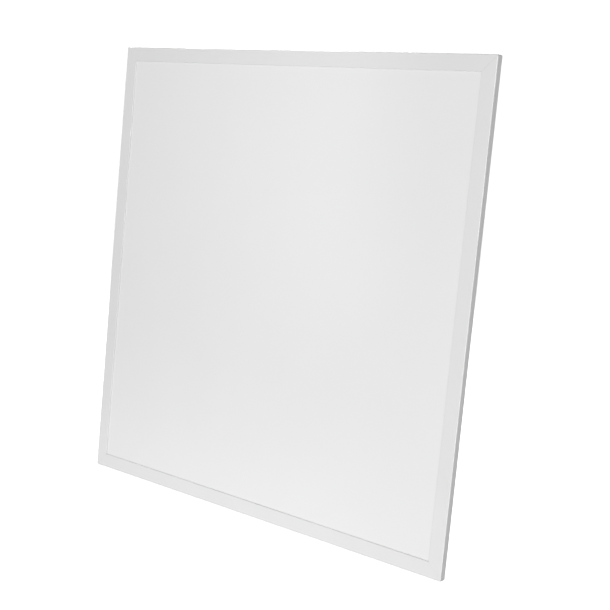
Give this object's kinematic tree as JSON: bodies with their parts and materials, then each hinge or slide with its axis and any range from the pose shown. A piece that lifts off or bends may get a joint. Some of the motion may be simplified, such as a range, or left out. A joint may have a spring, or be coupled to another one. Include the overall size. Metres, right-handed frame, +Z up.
{
  "type": "led panel light",
  "caption": "Thin square edge-lit ceiling light with a white rim, an opal front and a hinged driver box and swinging suspension loops on its back.",
  "frame": {"origin": "middle of the back cover's outer face, which is the middle of the four M4 inserts", "axes": "+Y out of the back, so the light leaves towards -Y; +X to the right seen from the front; +Z up with the panel upright"},
  "size_m": [0.595, 0.0433, 0.595],
  "materials": {
    "white_coated_aluminium": "smooth white powder coat, satin",
    "opal_plastic": "opal, fine matt front",
    "clear_acrylic": "clear, printed dots on the back",
    "white_film": "diffuse white film",
    "foam": "closed-cell foam",
    "adhesive_tape": "thermal adhesive",
    "board_white": "white solder mask",
    "led_package": "phosphor under clear resin",
    "wire_red": "insulated wire",
    "wire_black": "insulated wire",
    "white_coated_steel": "white powder coat, satin",
    "zinc_steel": "bright zinc plate",
    "spring_wire": "drawn and nickel plated",
    "rubber_black": "matt",
    "white_plastic": "fine grain",
    "board_green": "green solder mask",
    "ferrite": "ferrite and yellow tape",
    "capacitor_sleeve": "shrunk sleeve",
    "copper_winding": "enamelled wire",
    "plain_aluminium": "mill finish",
    "terminal_grey": "moulded",
    "button_orange": "moulded",
    "switch_black": "moulded",
    "label_silver": "blank, satin"
  },
  "bodies": {
    "panel": {"frame_rail_bottom": "white_coated_aluminium", "frame_rail_left": "white_coated_aluminium", "frame_rail_top": "white_coated_aluminium", "frame_rail_right": "white_coated_aluminium", "corner_key_bottom_left": "zinc_steel", "corner_key_top_left": "zinc_steel", "corner_key_top_right": "zinc_steel", "corner_key_bottom_right": "zinc_steel", "diffuser_plate": "opal_plastic", "light_guide_plate": "clear_acrylic", "reflector_sheet": "white_film", "foam_backing": "foam", "edge_spacers": "foam", "thermal_tape_left": "adhesive_tape", "thermal_tape_right": "adhesive_tape", "led_board_left": "board_white", "led_board_right": "board_white", "led_chips_left": "led_package", "led_chips_right": "led_package", "lead_positive": "wire_red", "lead_negative": "wire_black", "lead_link": "wire_black", "back_cover": "white_coated_steel", "cover_screws": "zinc_steel", "corner_screws": "zinc_steel", "clinch_nuts": "zinc_steel", "hanger_bracket_top_left": "zinc_steel", "hanger_bracket_top_right": "zinc_steel", "hanger_bracket_bottom_left": "zinc_steel", "hanger_bracket_bottom_right": "zinc_steel", "hanger_screws": "zinc_steel", "gear_tray": "white_coated_steel", "gear_end_plate_left": "white_coated_steel", "gear_end_plate_right": "white_coated_steel", "lid_hinge_pin": "zinc_steel", "gear_rivets": "plain_aluminium", "mains_bush": "rubber_black", "wire_grommet": "rubber_black", "earth_stud": "zinc_steel", "driver_case_base": "white_plastic", "driver_case_cover": "white_plastic", "driver_pcb": "board_green", "driver_transformer": "ferrite", "driver_capacitors": "capacitor_sleeve", "driver_inductor": "copper_winding", "driver_heatsinks": "plain_aluminium", "driver_screws": "zinc_steel", "mains_terminal": "terminal_grey", "output_terminal": "terminal_grey", "colour_switch_body": "switch_black"},
    "lid": {"gear_lid": "white_coated_steel", "rating_label": "label_silver"},
    "hanger_loop_top_left": {"hanger_loop_top_left": "spring_wire"},
    "hanger_loop_top_right": {"hanger_loop_top_right": "spring_wire"},
    "hanger_loop_bottom_left": {"hanger_loop_bottom_left": "spring_wire"},
    "hanger_loop_bottom_right": {"hanger_loop_bottom_right": "spring_wire"},
    "terminal_button_live": {"terminal_button_live": "button_orange"},
    "terminal_button_neutral": {"terminal_button_neutral": "button_orange"},
    "terminal_button_earth": {"terminal_button_earth": "button_orange"},
    "colour_switch_slider": {"colour_switch_slider": "white_plastic"}
  },
  "joints": [
    {"name": "lid_hinge", "type": "hinge", "parent": "panel", "child": "lid", "pos_m": [0, 0.0321, 0.0501], "axis": [1, 0, 0], "range_deg": [0, 197]},
    {"name": "hanger_loop_top_left_swing", "type": "hinge", "parent": "panel", "child": "hanger_loop_top_left", "pos_m": [-0.23, 0.003, 0.262], "axis": [1, 0, 0], "range_deg": [0, 180]},
    {"name": "hanger_loop_top_right_swing", "type": "hinge", "parent": "panel", "child": "hanger_loop_top_right", "pos_m": [0.23, 0.003, 0.262], "axis": [1, 0, 0], "range_deg": [0, 180]},
    {"name": "hanger_loop_bottom_left_swing", "type": "hinge", "parent": "panel", "child": "hanger_loop_bottom_left", "pos_m": [-0.23, 0.003, -0.262], "axis": [1, 0, 0], "range_deg": [0, 180]},
    {"name": "hanger_loop_bottom_right_swing", "type": "hinge", "parent": "panel", "child": "hanger_loop_bottom_right", "pos_m": [0.23, 0.003, -0.262], "axis": [1, 0, 0], "range_deg": [0, 180]},
    {"name": "terminal_button_live_press", "type": "slide", "parent": "panel", "child": "terminal_button_live", "axis": [0, -1, 0], "range_m": [0, 0.0015], "stiffness_N_per_m": 800},
    {"name": "terminal_button_neutral_press", "type": "slide", "parent": "panel", "child": "terminal_button_neutral", "axis": [0, -1, 0], "range_m": [0, 0.0015], "stiffness_N_per_m": 800},
    {"name": "terminal_button_earth_press", "type": "slide", "parent": "panel", "child": "terminal_button_earth", "axis": [0, -1, 0], "range_m": [0, 0.0015], "stiffness_N_per_m": 800},
    {"name": "colour_switch_slide", "type": "slide", "parent": "panel", "child": "colour_switch_slider", "axis": [1, 0, 0], "range_m": [-0.0025, 0.0025]}
  ]
}
